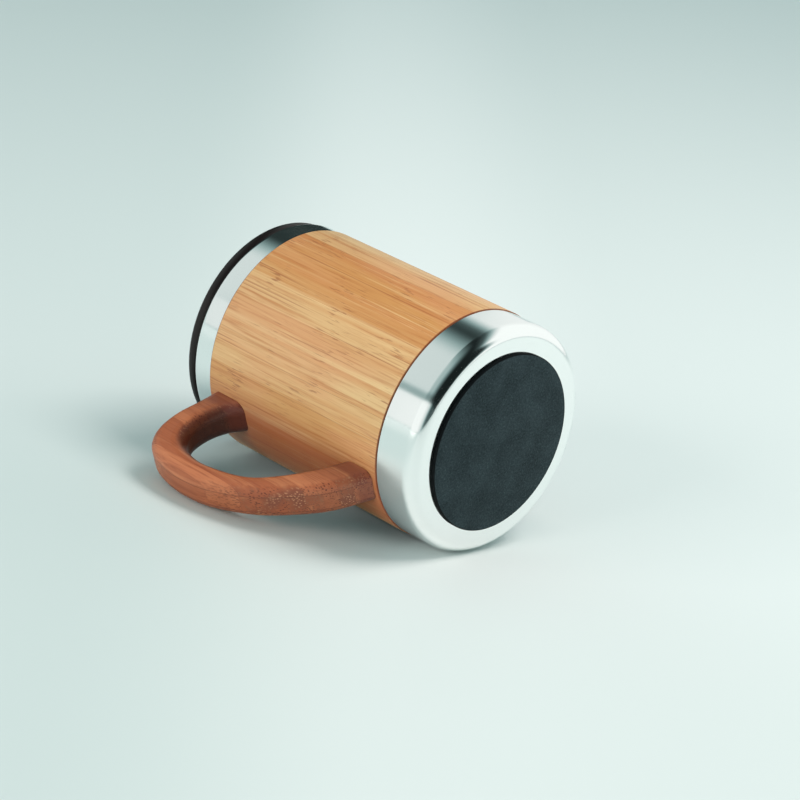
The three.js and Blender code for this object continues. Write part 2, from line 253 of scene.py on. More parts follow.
# Base cap. A cup pressed from steel sheet and polished, with a round corner. Its upper rim is
# drawn in to a spigot that is glued inside the sleeve.
steel_radius = 42.2 * mm
cap_corner = 4.7 * mm
cap_sheet = 0.8 * mm
cap_rim_rounding = 0.3 * mm
spigot_radius = 38.2 * mm
seat_gap = 0.2 * mm
steel_relief = 0.03 * mm
turned_steps = 288


def trace(points):
    """Draws a line of edges through points in the open mesh, starting with a new vertex."""
    bpy.ops.mesh.select_mode(type="VERT")
    bpy.ops.mesh.select_all(action="DESELECT")
    bpy.ops.mesh.primitive_plane_add(size=mm, location=points[0])
    bpy.ops.mesh.merge(type="CENTER")
    for near, far in zip(points, points[1:]):
        bpy.ops.mesh.extrude_region_move(TRANSFORM_OT_translate={"value": far - near})


def begin_empty(name):
    """Opens a new piece with nothing in it yet."""
    piece = begin(bpy.ops.mesh.primitive_plane_add, name, size=mm)
    bpy.ops.mesh.delete(type="VERT")
    return piece


def turned(name, outline):
    """Spins an outline of radius and height round the mug's axis. It starts and ends on the axis, or
    closes on itself."""
    piece = begin_empty(name)
    trace([Vector((radius, 0, height)) for radius, height in outline])
    bpy.ops.mesh.select_all(action="SELECT")
    bpy.ops.mesh.spin(
        steps=turned_steps, angle=math.tau, center=(0, 0, 0), axis=(0, 0, 1), use_auto_merge=True,
    )
    bpy.ops.mesh.select_all(action="SELECT")
    bpy.ops.mesh.remove_doubles(threshold=0.001 * mm)
    bpy.ops.mesh.normals_make_consistent(inside=False)
    return piece


def round_ring(piece, radius, height, rounding, segments):
    """Rounds the ring of edges of a turned piece at one radius and height."""
    reach = 0.02 * mm

    def on_ring(vertex):
        return abs(vertex.co.xy.length - radius) < reach and abs(vertex.co.z - height) < reach

    choose(piece, "EDGE", lambda edge: all(on_ring(vertex) for vertex in edge.verts))
    bpy.ops.mesh.bevel(offset=rounding, segments=segments, affect="EDGES")


def end_polished(piece):
    """Closes a polished piece, and lets its large faces set the shading, so that they mirror straight."""
    end(piece)
    shading = piece.modifiers.new("shading", "WEIGHTED_NORMAL")
    shading.keep_sharp = True
    bpy.ops.object.modifier_apply(modifier=shading.name)


cap_low, cap_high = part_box("base_cap")
sleeve_low, sleeve_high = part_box("bamboo_sleeve")
cap_bottom = cap_low.z
cap_top = sleeve_low.z - seat_gap
spigot_top = cap_high.z
steel_cap = turned("steel_cap", [
    (0, cap_bottom),
    (steel_radius, cap_bottom),
    (steel_radius, cap_top),
    (spigot_radius, cap_top),
    (spigot_radius, spigot_top),
    (spigot_radius - cap_sheet, spigot_top),
    (spigot_radius - cap_sheet, cap_top - cap_sheet),
    (steel_radius - cap_sheet, cap_top - cap_sheet),
    (steel_radius - cap_sheet, cap_bottom + cap_sheet),
    (0, cap_bottom + cap_sheet),
])
round_ring(steel_cap, steel_radius, cap_bottom, cap_corner, 20)
round_ring(steel_cap, steel_radius - cap_sheet, cap_bottom + cap_sheet, cap_corner - cap_sheet, 10)
round_ring(steel_cap, steel_radius, cap_top, cap_rim_rounding, 3)
end_polished(steel_cap)

polished_steel, steel_shader, steel_place = new_finish("Polished steel", Metallic=1.0)
steel_haze = steel_place.noise(60, 3.0)
steel_grain = steel_place.noise(900, 2.0)
feed(steel_shader, "Base Color", steel_haze.blend(seen(248, 250, 249), seen(253, 254, 253)))
feed(steel_shader, "Roughness", steel_haze * 0.05 + steel_grain * 0.03 + 0.07)
feed(steel_shader, "Normal", raised(steel_place.noise(45, 1.0), steel_relief, 0.25))
dress(steel_cap, polished_steel, "mug", "base_cap")


# Vacuum shell. The thin outer wall of the vacuum cup, drawn from steel and hidden by the sleeve.
# It keeps the grey skin that drawing leaves.
drawn_relief = 0.02 * mm
drawn_steel, drawn_shader, drawn_place = new_finish("Drawn steel", Metallic=1.0)
drawn_lines = drawn_place.stretched((1, 1, 0.02)).noise(700, 3.0)
feed(drawn_shader, "Base Color", drawn_lines.blend(seen(182, 186, 187), seen(206, 210, 210)))
feed(drawn_shader, "Roughness", drawn_lines * 0.15 + 0.3)
feed(drawn_shader, "Normal", raised(drawn_lines, drawn_relief, 0.4))
frame["nodes"]["vacuum_shell"].material_slots[0].material = drawn_steel


# Inner cup. The steel vessel that holds the drink, drawn in one piece and necked in above the vacuum.
# Its mouth is rolled outwards into a lip, whose skirt shows as a bright band above the sleeve.
cup_sheet = 0.6 * mm
cup_radius = 34.5 * mm
cup_corner = 8 * mm
mouth_radius = 37.6 * mm
cup_shoulder = 95.6 * mm
cup_neck = 100.6 * mm
cup_bend = 2 * mm
cup_low, cup_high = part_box("inner_cup")
cup_bottom = cup_low.z
lip_top = cup_high.z
band_bottom = sleeve_high.z + seat_gap
lip_rounding = (steel_radius - mouth_radius) / 2 - 0.01 * mm
inside_rounding = lip_rounding - cup_sheet
steel_cup = turned("steel_cup", [
    (0, cup_bottom),
    (cup_radius, cup_bottom),
    (cup_radius, cup_shoulder),
    (mouth_radius + cup_sheet, cup_neck),
    (mouth_radius + cup_sheet, lip_top - cup_sheet),
    (steel_radius - cup_sheet, lip_top - cup_sheet),
    (steel_radius - cup_sheet, band_bottom),
    (steel_radius, band_bottom),
    (steel_radius, lip_top),
    (mouth_radius, lip_top),
    (mouth_radius, cup_neck),
    (cup_radius - cup_sheet, cup_shoulder),
    (cup_radius - cup_sheet, cup_bottom + cup_sheet),
    (0, cup_bottom + cup_sheet),
])
round_ring(steel_cup, cup_radius, cup_bottom, cup_corner, 8)
round_ring(steel_cup, cup_radius - cup_sheet, cup_bottom + cup_sheet, cup_corner - cup_sheet, 12)
round_ring(steel_cup, cup_radius - cup_sheet, cup_shoulder, cup_bend, 4)
round_ring(steel_cup, mouth_radius, cup_neck, cup_bend, 4)
round_ring(steel_cup, mouth_radius + cup_sheet, lip_top - cup_sheet, inside_rounding, 5)
round_ring(steel_cup, steel_radius - cup_sheet, lip_top - cup_sheet, inside_rounding, 5)
round_ring(steel_cup, mouth_radius, lip_top, lip_rounding, 8)
round_ring(steel_cup, steel_radius, lip_top, lip_rounding, 8)
end_polished(steel_cup)
dress(steel_cup, polished_steel, "mug", "inner_cup")


# Bamboo sleeve. A tube turned from glued bamboo strips and varnished, drilled from inside for the two
# handle screws. The strips differ in tone, and each has long fibres, dark lines and short dashes. The
# side that lies lowest in the picture is painted redder and darker than the rest, as shade.
sleeve_radius = 42.5 * mm
sleeve_bore = 38.5 * mm
sleeve_edge = 0.3 * mm
screw_gap = 0.3 * mm
shank_hole_radius = 2.05 * mm
head_seat_reach = 40.3 * mm
bamboo_relief = 0.06 * mm
strip_tones = [
    0.85, 0.85, 0.4, 0.15, 0.05, 0.3, 0.85, 1.0, 1.0, 0.45, 0.1, 0.35, 0.2, 0.8, 0.4,
    0.1, 0.7, 0.3, 0.95, 0.5, 0.2, 0.6, 0.05, 0.75, 0.4, 0.85, 0.25, 0.55, 0.9, 0.95,
]
strip_count = len(strip_tones)
bamboo_tube = turned("bamboo_tube", [
    (sleeve_bore, sleeve_low.z),
    (sleeve_radius, sleeve_low.z),
    (sleeve_radius, sleeve_high.z),
    (sleeve_bore, sleeve_high.z),
    (sleeve_bore, sleeve_low.z),
])
round_ring(bamboo_tube, sleeve_radius, sleeve_low.z, sleeve_edge, 2)
round_ring(bamboo_tube, sleeve_radius, sleeve_high.z, sleeve_edge, 2)
end(bamboo_tube)


def combine(piece, tool, operation="DIFFERENCE"):
    """Cuts a closed tool from a piece, or joins it on, and removes the tool."""
    change = piece.modifiers.new("shape", "BOOLEAN")
    change.object = tool
    change.operation = operation
    change.solver = "EXACT"
    bpy.context.view_layer.objects.active = piece
    bpy.ops.object.modifier_apply(modifier=change.name)
    bpy.data.objects.remove(tool)


def level_drill(radius, near, far, height):
    """A round tool along -X at a height, from one distance to another from the mug's axis."""
    middle = (-(near + far) / 2, 0, height)
    bpy.ops.object.select_all(action="DESELECT")
    bpy.ops.mesh.primitive_cylinder_add(
        vertices=32, radius=radius, depth=far - near, location=middle, rotation=(0, math.pi / 2, 0),
    )
    return bpy.context.object


overrun = 1 * mm
for screw in ("upper_handle_screw", "lower_handle_screw"):
    screw_low, screw_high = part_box(screw)
    screw_height = (screw_low.z + screw_high.z) / 2
    head_radius = (screw_high.z - screw_low.z) / 2 + screw_gap
    shank_hole = level_drill(shank_hole_radius, sleeve_bore - overrun, sleeve_radius + overrun, screw_height)
    combine(bamboo_tube, shank_hole)
    head_seat = level_drill(head_radius, sleeve_bore - overrun, head_seat_reach, screw_height)
    combine(bamboo_tube, head_seat)


def strip_value(strip, seed):
    """A fixed value from 0 to 1 for each numbered strip."""
    return strip.node("ShaderNodeTexWhiteNoise", {"noise_dimensions": "1D"}, {"W": strip + seed})


def joint_distance(across):
    """The distance to the nearest glue joint, of a place that runs from 0 to 1 across a strip."""
    return 0.5 - (across - 0.5).absolute()


light_bamboo, sleeve_shader, sleeve_place = new_finish("Light bamboo", Coat_Roughness=0.35)
sleeve_x, sleeve_y, sleeve_z = sleeve_place.axes(3)
strip_wobble = (sleeve_place.stretched((1, 1, 0.25)).noise(40, 1.0) - 0.5) * 0.01
sleeve_turn = sleeve_y.maths("ARCTAN2", sleeve_y, sleeve_x) * (1 / math.tau) + 0.5 + strip_wobble
strip_stops = [
    (place / strip_count, (tone, tone, tone, 1)) for place, tone in enumerate(strip_tones)
]
strip_tone = sleeve_turn.node(
    "ShaderNodeValToRGB", {"interpolation": "CONSTANT", "stops": strip_stops}, {0: sleeve_turn},
)
strip_turn = sleeve_turn * strip_count
strip = strip_turn.floor()
from_joint = joint_distance(strip_turn - strip)
strip_warmth = strip_value(strip, 41.0)

strip_shift = sleeve_place.node(
    "ShaderNodeCombineXYZ", None, {0: strip * 0.013, 1: strip * 0.007, 2: strip_warmth},
)
long_place = sleeve_place.stretched((1, 1, 0.012), strip_shift)
fibre_place = sleeve_place.stretched((1, 1, 0.025), strip_shift)
dash_place = sleeve_place.stretched((1, 1, 0.1), strip_shift)
bands = long_place.noise(170, 2.0, 0.5)
streaks = fibre_place.noise(620, 4.0, 0.65)
fibres = fibre_place.noise(1900, 3.0, 0.6)
lines = long_place.noise(950, 1.0, 0.5).between(0.63, 0.72)
line_places = sleeve_place.stretched((1, 1, 0.3), strip_shift).noise(60, 1.0).between(0.42, 0.6)
dashes = dash_place.noise(1700, 1.0, 0.5).between(0.58, 0.68)
dash_places = sleeve_place.noise(70, 1.0).between(0.45, 0.65)
patches = sleeve_place.stretched((1, 1, 0.3)).noise(48, 3.0).between(0.45, 0.7)
sleeve_colour = strip_tone.blend(seen(232, 196, 142), seen(206, 147, 84))
sleeve_colour = (bands.between(0.45, 0.68) * 0.6).blend(sleeve_colour, seen(204, 134, 74))
sleeve_colour = (patches * 0.5).blend(sleeve_colour, seen(222, 158, 112))
sleeve_colour = (streaks.between(0.52, 0.72) * 0.6).blend(sleeve_colour, seen(238, 202, 146))
sleeve_colour = (streaks.between(0.48, 0.3) * 0.65).blend(sleeve_colour, seen(192, 120, 62))
sleeve_colour = (fibres.between(0.5, 0.7) * 0.4).blend(sleeve_colour, seen(178, 106, 56))
sleeve_colour = (lines * line_places * 0.7).blend(sleeve_colour, seen(166, 94, 52))
sleeve_colour = (dashes * dash_places * 0.6).blend(sleeve_colour, seen(150, 84, 48))
joint_line = from_joint.between(0.03, 0.01) * strip_warmth.between(0.5, 0.8) * 0.5
sleeve_colour = joint_line.blend(sleeve_colour, seen(150, 84, 46))
# Darker at both ends: the end grain, and painted shade in the joints to the steel.
low_end_grain_and_shade = sleeve_z.between(sleeve_low.z + 0.32 * mm, sleeve_low.z + 0.18 * mm)
high_end_grain_and_shade = sleeve_z.between(sleeve_high.z - 0.35 * mm, sleeve_high.z - 0.15 * mm)
sleeve_colour = (low_end_grain_and_shade * 0.8 + high_end_grain_and_shade * 0.5).blend(sleeve_colour, seen(140, 70, 42))
# Painted shade: the side that lies lowest is made redder and darker.
painted_underside_shade = sleeve_turn.between(0.055, 0.0) + sleeve_turn.between(0.9, 0.95)
sleeve_colour = (painted_underside_shade * 0.7).blend(sleeve_colour, seen(172, 84, 46))
feed(sleeve_shader, "Base Color", sleeve_colour)
feed(sleeve_shader, "Roughness", fibres * 0.15 + 0.42)
feed(sleeve_shader, "Normal", raised(fibres - lines * 0.5, bamboo_relief, 0.35))
dress(bamboo_tube, light_bamboo, "mug", "bamboo_sleeve")


# Handle. A loop sawn from a block of darker, steamed bamboo staves, with the fibres along the mug's
# axis, then rounded by hand. Both ends are coped to the sleeve and screwed on from inside it. As in the
# picture, its faces that look into the loop are painted darker, as shade, and it is darker at its roots.
handle_reach = 38 * mm
handle_width = 13.5 * mm
outer_rounding = 3.4 * mm
inner_rounding = 4.6 * mm
root_share = 0.12
handle_stations = 56
coping_radius = sleeve_radius + 0.2 * mm
coping_overrun = 10 * mm
pilot_radius = 1.9 * mm
outer_shares = [
    (0, 0), (0.34, 0.096), (0.58, 0.208), (0.8, 0.351), (0.96, 0.538), (1, 0.689),
    (0.97, 0.819), (0.88, 0.924), (0.7, 0.985), (0.45, 1), (0.2, 0.98), (0, 0.966),
]
inner_shares = [
    (0, 0.172), (0.26, 0.252), (0.5, 0.352), (0.65, 0.453), (0.728, 0.605), (0.733, 0.713),
    (0.66, 0.815), (0.5, 0.864), (0.3, 0.862), (0.12, 0.826), (0, 0.775),
]
handle_low, handle_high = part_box("handle")
handle_height = handle_high.z - handle_low.z


def smooth_points(shares, count):
    """Evenly spaced points on a smooth curve through places given as shares of reach and height."""
    curve_steps = 40
    places = [
        Vector((-sleeve_radius - out * handle_reach, 0, handle_low.z + up * handle_height))
        for out, up in shares
    ]
    ends = [2 * places[0] - places[1], *places, 2 * places[-1] - places[-2]]
    dense = []
    for a, b, c, d in zip(ends, ends[1:], ends[2:], ends[3:]):
        for step in range(curve_steps):
            t = step / curve_steps
            bend = (2 * a - 5 * b + 4 * c - d) * t * t + (3 * b - a - 3 * c + d) * t ** 3
            dense.append((2 * b + (c - a) * t + bend) / 2)
    dense.append(places[-1])
    lengths = [0.0]
    for near, far in zip(dense, dense[1:]):
        lengths.append(lengths[-1] + (far - near).length)
    points = []
    index = 0
    for number in range(count):
        wanted = lengths[-1] * number / (count - 1)
        while index < len(dense) - 2 and lengths[index + 1] < wanted:
            index += 1
        share = (wanted - lengths[index]) / (lengths[index + 1] - lengths[index])
        points.append(dense[index].lerp(dense[index + 1], share))
    return points


outer_line = smooth_points(outer_shares, handle_stations)
inner_line = smooth_points(inner_shares, handle_stations)
inside_sleeve = Vector((root_share * handle_reach, 0, 0))
outer_line = [outer_line[0] + inside_sleeve, *outer_line, outer_line[-1] + inside_sleeve]
inner_line = [inner_line[0] + inside_sleeve, *inner_line, inner_line[-1] + inside_sleeve]

bamboo_handle = begin_empty("bamboo_handle")
near_side = Vector((0, -handle_width / 2, 0))
trace([point + near_side for point in outer_line])
trace([point + near_side for point in inner_line])
bpy.ops.mesh.select_mode(type="EDGE")
bpy.ops.mesh.select_all(action="SELECT")
bpy.ops.mesh.bridge_edge_loops()
bpy.ops.mesh.select_all(action="SELECT")
bpy.ops.mesh.extrude_region_move(TRANSFORM_OT_translate={"value": (0, handle_width, 0)})
bpy.ops.mesh.select_all(action="SELECT")
bpy.ops.mesh.normals_make_consistent(inside=False)


def along_corner(edge, inner_side):
    """True for the edges along the loop's inner or outer corners, not across a side of it."""
    corner_angle = 1
    one, other = edge.verts
    runs_along = abs(one.co.y - other.co.y) <= 0.01 * mm
    if not runs_along or len(edge.link_faces) < 2 or edge.calc_face_angle(0) < corner_angle:
        return False
    middle = (one.co + other.co) / 2
    middle.y = 0
    to_outer = min((middle - point).length for point in outer_line)
    to_inner = min((middle - point).length for point in inner_line)
    return (to_inner < to_outer) == inner_side


choose(bamboo_handle, "EDGE", lambda edge: along_corner(edge, True))
bpy.ops.transform.edge_bevelweight(value=1)
choose(bamboo_handle, "EDGE", lambda edge: along_corner(edge, False))
bpy.ops.transform.edge_bevelweight(value=outer_rounding / inner_rounding)
end(bamboo_handle)

rounding = bamboo_handle.modifiers.new("rounding", "BEVEL")
rounding.limit_method = "WEIGHT"
rounding.width = inner_rounding
rounding.segments = 6
rounding.use_clamp_overlap = False
bpy.ops.object.modifier_apply(modifier=rounding.name)
bpy.ops.object.select_all(action="DESELECT")
bpy.ops.mesh.primitive_cylinder_add(
    vertices=256, radius=coping_radius, depth=handle_height + 2 * coping_overrun,
    location=(0, 0, handle_low.z + handle_height / 2),
)
combine(bamboo_handle, bpy.context.object)
for screw in ("upper_handle_screw", "lower_handle_screw"):
    screw_low, screw_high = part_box(screw)
    screw_height = (screw_low.z + screw_high.z) / 2
    combine(bamboo_handle, level_drill(pilot_radius, sleeve_radius, -screw_low.x + screw_gap, screw_height))
smooth(bamboo_handle, 35)

stave_depth = 4.4 * mm
stave_width = 6.75 * mm
stave_offset = 3 * mm
loop_middle = Vector((-52, 0, 67)) * mm
root_from = -48.2 * mm
root_to = -46.5 * mm
dark_bamboo, handle_shader, handle_place = new_finish("Dark bamboo", Coat_Roughness=0.3)
handle_x, handle_y = handle_place.axes(2)
stave_out = handle_x * (1 / stave_depth)
stave_side = (handle_y + stave_offset) * (1 / stave_width)
stave_row = stave_out.floor()
stave_column = stave_side.floor()
stave = stave_row * 7.0 + stave_column * 3.0
stave_tone = strip_value(stave, 5.0)
stave_pores = strip_value(stave, 23.0)
row_glue = joint_distance(stave_out - stave_row)
column_glue = joint_distance(stave_side - stave_column)
stave_shift = handle_place.node(
    "ShaderNodeCombineXYZ", None, {0: stave * 0.011, 1: stave * 0.005, 2: stave_tone},
)
bundle_place = handle_place.stretched((1, 1, 0.04), stave_shift)
handle_fibres = bundle_place.noise(1500, 2.0, 0.6)
handle_streaks = bundle_place.noise(330, 3.0, 0.55)
pore_place = handle_place.stretched((1, 1, 0.12), stave_shift)
pore_cells = pore_place.node("ShaderNodeTexVoronoi", None, {"Vector": pore_place, "Scale": 1500})
pores = pore_cells.between(0.44, 0.24)
handle_normal = handle_place.node("ShaderNodeTexCoord", result="Normal")
end_grain = handle_normal.along((0, 0, 1)).absolute().between(0.15, 0.55) * 0.9 + 0.1
pore_places = (stave_pores * 0.5 + handle_place.noise(150, 1.0)).between(0.25, 0.6) * end_grain
brown_staves = stave_tone.between(0.5, 0.7) * handle_place.noise(120, 1.0).between(0.35, 0.6) * end_grain
to_loop = handle_place.vector_maths("SUBTRACT", {0: loop_middle, 1: handle_place})
loop_shade_side = handle_normal.along(to_loop)  # More than 0 on the faces that look into the loop.
handle_colour = (stave_tone * 0.7 + 0.15).blend(seen(200, 122, 80), seen(166, 90, 55))
handle_colour = (handle_streaks.between(0.5, 0.75) * 0.6).blend(handle_colour, seen(212, 138, 92))
handle_colour = (handle_streaks.between(0.48, 0.25) * 0.6).blend(handle_colour, seen(150, 76, 46))
handle_colour = (handle_fibres.between(0.5, 0.7) * 0.45).blend(handle_colour, seen(136, 66, 40))
handle_colour = (end_grain * 0.35).blend(handle_colour, seen(150, 66, 34))
pored_colour = (pores * pore_places * 0.8).blend(handle_colour, seen(74, 28, 20))
brown_colour = (pores * 0.85 + 0.1).blend(seen(112, 50, 34), seen(212, 146, 104))
handle_colour = (brown_staves * 0.8).blend(pored_colour, brown_colour)
handle_colour = (row_glue.between(0.05, 0.0) * 0.15).blend(handle_colour, seen(120, 58, 37))
handle_colour = (column_glue.between(0.04, 0.01) * 0.5).blend(handle_colour, seen(100, 44, 30))
# Painted shade on the faces that look into the loop.
handle_colour = (loop_shade_side.between(0, 17 * mm) * 0.8).blend(handle_colour, seen(66, 24, 17))
root_dark = handle_x.between(root_from, root_to) * 0.5
handle_colour = root_dark.blend(handle_colour, seen(118, 50, 34))
feed(handle_shader, "Base Color", handle_colour)
feed(handle_shader, "Roughness", handle_fibres * 0.12 + 0.34)
feed(handle_shader, "Normal", raised(handle_fibres - pores * pore_places, bamboo_relief, 0.3))
dress(bamboo_handle, dark_bamboo, "mug", "handle")


def hide_from(piece, *rays):
    """Leaves a piece out for some kinds of ray: camera, diffuse, glossy, transmission or shadow."""
    for ray in rays:
        setattr(piece, "visible_" + ray, False)


hide_from(bamboo_handle, "glossy")  # The picture's steel doesn't mirror the handle.


# Handle screws. Two zinc-plated wood screws that go through the sleeve from inside into the handle's
# roots. The cup hides their heads.
zinc_relief = 0.02 * mm
zinc, zinc_shader, zinc_place = new_finish("Zinc plate", Metallic=1.0)
zinc_bloom = zinc_place.noise(900, 3.0)
feed(zinc_shader, "Base Color", zinc_bloom.blend(seen(196, 194, 182), seen(222, 221, 212)))
feed(zinc_shader, "Roughness", zinc_bloom * 0.2 + 0.28)
feed(zinc_shader, "Normal", raised(zinc_bloom, zinc_relief, 0.3))
for screw in ("upper_handle_screw", "lower_handle_screw"):
    frame["nodes"][screw].material_slots[0].material = zinc


# Lid. Moulded in dark plastic, with a round rim, a sunk floor and a hollow plug with a groove for its
# seal. The floor has a drinking slot, a slot for the cover's stem, a vent and two guide rails.
lid_radius = 41.3 * mm
lid_rounding = 1.7 * mm
rim_radius = 35.9 * mm
rim_slope = 0.6 * mm
rim_rounding = 0.8 * mm
flange_height = 4 * mm
plug_radius = 36.9 * mm
plug_wall = 2 * mm
plug_rounding = 0.5 * mm
groove_radius = 35.9 * mm
groove_height = 3.4 * mm
recess_depth = 3.9 * mm
floor_thickness = 2 * mm
lid_low, lid_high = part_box("lid_body")
lid_top = lid_high.z
flange_bottom = lid_top - flange_height
plug_bottom = lid_low.z
groove_top = flange_bottom - groove_height
groove_bottom = groove_top - groove_height
floor_top = lid_top - recess_depth
floor_bottom = floor_top - floor_thickness
plastic_lid = turned("plastic_lid", [
    (0, floor_bottom),
    (plug_radius - plug_wall, floor_bottom),
    (plug_radius - plug_wall, plug_bottom),
    (plug_radius, plug_bottom),
    (plug_radius, groove_bottom),
    (groove_radius, groove_bottom),
    (groove_radius, groove_top),
    (plug_radius, groove_top),
    (plug_radius, flange_bottom),
    (lid_radius, flange_bottom),
    (lid_radius, lid_top),
    (rim_radius + rim_slope, lid_top),
    (rim_radius, floor_top),
    (0, floor_top),
])
round_ring(plastic_lid, lid_radius, flange_bottom, lid_rounding, 6)
round_ring(plastic_lid, lid_radius, lid_top, lid_rounding, 8)
round_ring(plastic_lid, rim_radius + rim_slope, lid_top, rim_rounding, 4)
round_ring(plastic_lid, rim_radius, floor_top, rim_rounding, 4)
round_ring(plastic_lid, plug_radius, plug_bottom, plug_rounding, 3)
end(plastic_lid)


def rounded_block(name, low, high, corner, edge, segments=8):
    """A block with rounded upright corners and softened top and bottom edges."""
    size = high - low
    piece = begin(bpy.ops.mesh.primitive_cube_add, name, size=1, location=(low + high) / 2)
    bpy.ops.transform.resize(value=size)
    if corner:
        choose(piece, "EDGE", lambda line: abs(line.verts[0].co.z - line.verts[1].co.z) > size.z / 2)
        bpy.ops.mesh.bevel(offset=corner, segments=segments, affect="EDGES")
    if edge:
        choose(piece, "FACE", lambda face: abs(face.normal.z) > 0.9)
        bpy.ops.mesh.region_to_loop()
        bpy.ops.mesh.bevel(offset=edge, segments=3, affect="EDGES")
    end(piece)
    return piece


slide_low, slide_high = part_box("lid_slider")
slot_length = 7 * mm
slot_width = 15 * mm
slot_overlap = 2.6 * mm
slot_rounding = slot_length / 2 - 0.1 * mm
slide_travel = frame["joints"][1]["range_m"][1]
slot_middle = slide_high.x - slot_overlap - slot_length / 2
stem_length = 5 * mm
stem_width = 3 * mm
stem_offset = 5 * mm
stem_middle = (slide_low.x + slide_high.x) / 2 - stem_offset
stem_slot_corner = 0.4 * mm
guide_gap = 0.3 * mm
vent_radius = 1.2 * mm
vent_from_wall = 8.9 * mm
vent_place = rim_radius - vent_from_wall
rail_width = 1.2 * mm
rail_height = 1.5 * mm
rail_root = 0.2 * mm
rail_rounding = 0.3 * mm
tool_bottom = floor_bottom - overrun
tool_top = floor_top + overrun
drinking_slot = rounded_block(
    "slot_tool",
    Vector((slot_middle - slot_length / 2, -slot_width / 2, tool_bottom)),
    Vector((slot_middle + slot_length / 2, slot_width / 2, tool_top)),
    slot_rounding, 0,
)
combine(plastic_lid, drinking_slot)
stem_half = Vector((stem_length / 2 + guide_gap, stem_width / 2 + guide_gap, 0))
stem_slot = rounded_block(
    "guide_tool",
    Vector((stem_middle - slide_travel, 0, tool_bottom)) - stem_half,
    Vector((stem_middle, 0, tool_top)) + stem_half,
    stem_slot_corner, 0, 3,
)
combine(plastic_lid, stem_slot)
bpy.ops.object.select_all(action="DESELECT")
bpy.ops.mesh.primitive_cylinder_add(
    vertices=48, radius=vent_radius, depth=tool_top - tool_bottom,
    location=(-vent_place, 0, (tool_top + tool_bottom) / 2),
)
combine(plastic_lid, bpy.context.object)
for side in (-1, 1):
    rail_middle = side * (slide_high.y + guide_gap + rail_width / 2)
    rail = rounded_block(
        "rail_tool",
        Vector((slide_low.x - slide_travel, rail_middle - rail_width / 2, floor_top - rail_root)),
        Vector((slide_high.x, rail_middle + rail_width / 2, floor_top + rail_height)),
        rail_rounding, rail_rounding, 3,
    )
    combine(plastic_lid, rail, "UNION")
smooth(plastic_lid)

moulded_relief = 0.03 * mm
dark_plastic, plastic_shader, plastic_place = new_finish("Dark plastic", Specular_IOR_Level=0.3)
plastic_grain = plastic_place.noise(2600, 2.0)
plastic_clouds = plastic_place.noise(50, 2.0)
feed(plastic_shader, "Base Color", plastic_clouds.blend(seen(20, 14, 14), seen(30, 24, 23)))
feed(plastic_shader, "Roughness", plastic_grain * 0.12 + 0.28)
feed(plastic_shader, "Normal", raised(plastic_grain, moulded_relief, 0.25))
dress(plastic_lid, dark_plastic, "lid", "lid_body")


# Lid seal. A ring of soft dark silicone in the plug's groove, with two lips that press on the mouth.
# Its surface has the dull bloom of moulded silicone.
seal_low, seal_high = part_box("lid_seal")
seal_radius = seal_high.x
seal_back = groove_radius + 0.1 * mm
seal_valley = 0.4 * mm
seal_rounding = 0.25 * mm
lip_pitch = (seal_high.z - seal_low.z) / 4
silicone_ring = turned("silicone_ring", [
    (seal_back, seal_low.z),
    (seal_radius - seal_valley, seal_low.z),
    (seal_radius, seal_low.z + lip_pitch),
    (seal_radius - seal_valley, seal_low.z + 2 * lip_pitch),
    (seal_radius, seal_high.z - lip_pitch),
    (seal_radius - seal_valley, seal_high.z),
    (seal_back, seal_high.z),
    (seal_back, seal_low.z),
])
round_ring(silicone_ring, seal_radius, seal_low.z + lip_pitch, seal_rounding, 3)
round_ring(silicone_ring, seal_radius, seal_high.z - lip_pitch, seal_rounding, 3)
end(silicone_ring)
silicone, silicone_shader, silicone_place = new_finish("Silicone", Specular_IOR_Level=0.4)
silicone_bloom = silicone_place.noise(300, 3.0)
feed(silicone_shader, "Base Color", silicone_bloom.blend(seen(44, 43, 43), seen(66, 65, 64)))
feed(silicone_shader, "Roughness", silicone_bloom * 0.2 + 0.55)
feed(silicone_shader, "Normal", raised(silicone_place.noise(1800, 2.0), moulded_relief, 0.3))
dress(silicone_ring, silicone, "lid", "lid_seal")


# Slot cover. A moulded plate that slides between the rails, with two thumb ridges on top, a pocket for
# its seal below and a stem that goes down through the lid.
slide_thickness = 1.6 * mm
slide_corner = 3.5 * mm
slide_edge = 0.3 * mm
slide_clearance = 0.2 * mm
stem_corner = 0.3 * mm
stem_overlap = 0.1 * mm
grip_length = 2.2 * mm
grip_width = 14 * mm
grip_pitch = 4.4 * mm
grip_corner = 0.9 * mm
grip_edge = 0.5 * mm
grip_overlap = 0.4 * mm
slide_bottom = floor_top + slide_clearance
plate_top = slide_bottom + slide_thickness
slot_cover_plate = rounded_block(
    "slot_cover",
    Vector((slide_low.x, slide_low.y, slide_bottom)),
    Vector((slide_high.x, slide_high.y, plate_top)),
    slide_corner, slide_edge,
)
pad_seal_low, pad_seal_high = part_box("slider_seal")
pocket_gap = Vector((0.1, 0.1, 0.1)) * mm
pocket = rounded_block(
    "pocket_tool", pad_seal_low - pocket_gap - Vector((0, 0, overrun)), pad_seal_high + pocket_gap, 0, 0,
)
combine(slot_cover_plate, pocket)
stem = rounded_block(
    "stem_tool",
    Vector((stem_middle - stem_length / 2, -stem_width / 2, slide_low.z)),
    Vector((stem_middle + stem_length / 2, stem_width / 2, slide_bottom + stem_overlap)),
    stem_corner, 0, 3,
)
combine(slot_cover_plate, stem, "UNION")
for side in (-0.5, 0.5):
    grip_middle = stem_middle + side * grip_pitch
    grip = rounded_block(
        "grip_tool",
        Vector((grip_middle - grip_length / 2, -grip_width / 2, plate_top - grip_overlap)),
        Vector((grip_middle + grip_length / 2, grip_width / 2, slide_high.z)),
        grip_corner, grip_edge, 5,
    )
    combine(slot_cover_plate, grip, "UNION")
smooth(slot_cover_plate)
dress(slot_cover_plate, dark_plastic, "slide", "lid_slider")


